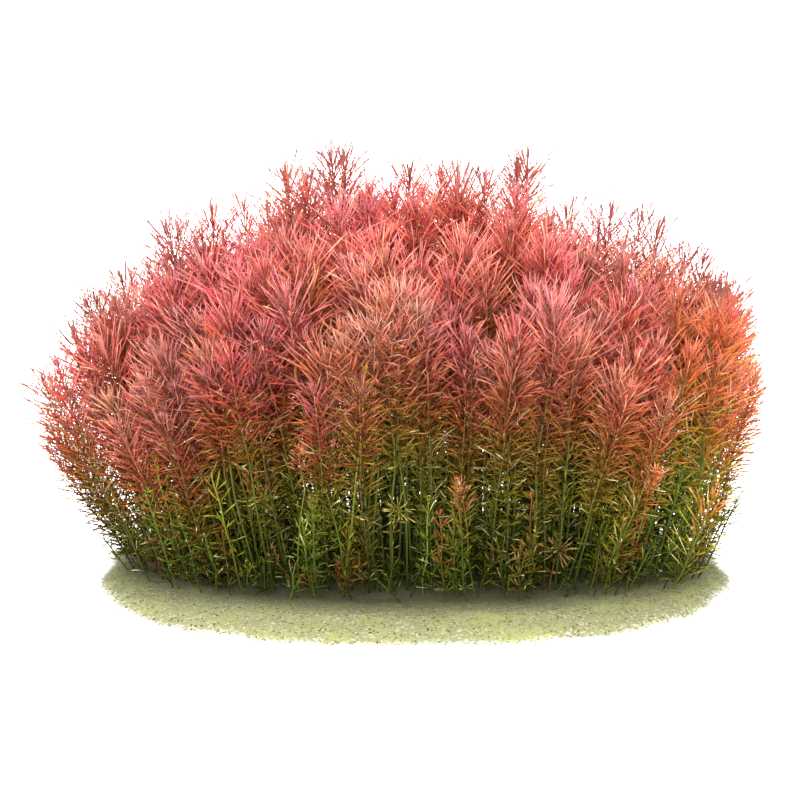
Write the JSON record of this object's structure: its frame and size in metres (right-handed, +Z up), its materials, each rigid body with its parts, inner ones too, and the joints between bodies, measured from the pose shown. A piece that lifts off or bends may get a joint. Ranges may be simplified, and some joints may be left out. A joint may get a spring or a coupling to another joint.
{
  "type": "rotala bush",
  "caption": "Dense domed bush of a fine-leaved aquatic stem plant, pink above and olive below, rooted in a low oval bed of pale sand.",
  "frame": {"origin": "middle of the sand bed's flat underside", "axes": "+Z up, +X to the right seen from the front, -Y towards the front"},
  "size_m": [0.3238, 0.1984, 0.1939],
  "materials": {
    "sand": "loose, fine and matt",
    "shoot": "thin translucent leaf, pink at the tips and olive below",
    "young_shoot": "thin translucent leaf, yellow and orange"
  },
  "bodies": {
    "root": {"sand_bed": "sand", "shoot_01": "shoot", "shoot_02": "shoot", "shoot_03": "shoot", "shoot_04": "shoot", "shoot_05": "shoot", "shoot_06": "shoot", "shoot_07": "shoot", "shoot_08": "shoot", "shoot_09": "shoot", "shoot_10": "shoot", "shoot_11": "shoot", "shoot_12": "shoot", "shoot_13": "shoot", "shoot_14": "shoot", "shoot_15": "shoot", "shoot_16": "shoot", "shoot_17": "shoot", "shoot_18": "shoot", "shoot_19": "shoot", "shoot_20": "shoot", "shoot_21": "shoot", "shoot_22": "shoot", "shoot_23": "shoot", "shoot_24": "shoot", "shoot_25": "shoot", "shoot_26": "shoot", "shoot_27": "shoot", "shoot_28": "shoot", "shoot_29": "shoot", "shoot_30": "shoot", "shoot_31": "shoot", "shoot_32": "shoot", "shoot_33": "shoot", "shoot_34": "shoot", "shoot_35": "shoot", "shoot_36": "shoot", "shoot_37": "shoot", "shoot_38": "shoot", "shoot_39": "shoot", "shoot_40": "shoot", "shoot_41": "shoot", "shoot_42": "shoot", "shoot_43": "shoot", "shoot_44": "shoot", "shoot_45": "shoot", "shoot_46": "shoot", "shoot_47": "shoot", "shoot_48": "shoot", "shoot_49": "shoot", "shoot_50": "shoot", "shoot_51": "shoot", "shoot_52": "shoot", "shoot_53": "shoot", "shoot_54": "shoot", "shoot_55": "shoot", "shoot_56": "shoot", "young_shoot_1": "young_shoot", "young_shoot_2": "young_shoot", "young_shoot_3": "young_shoot"}
  },
  "joints": []
}
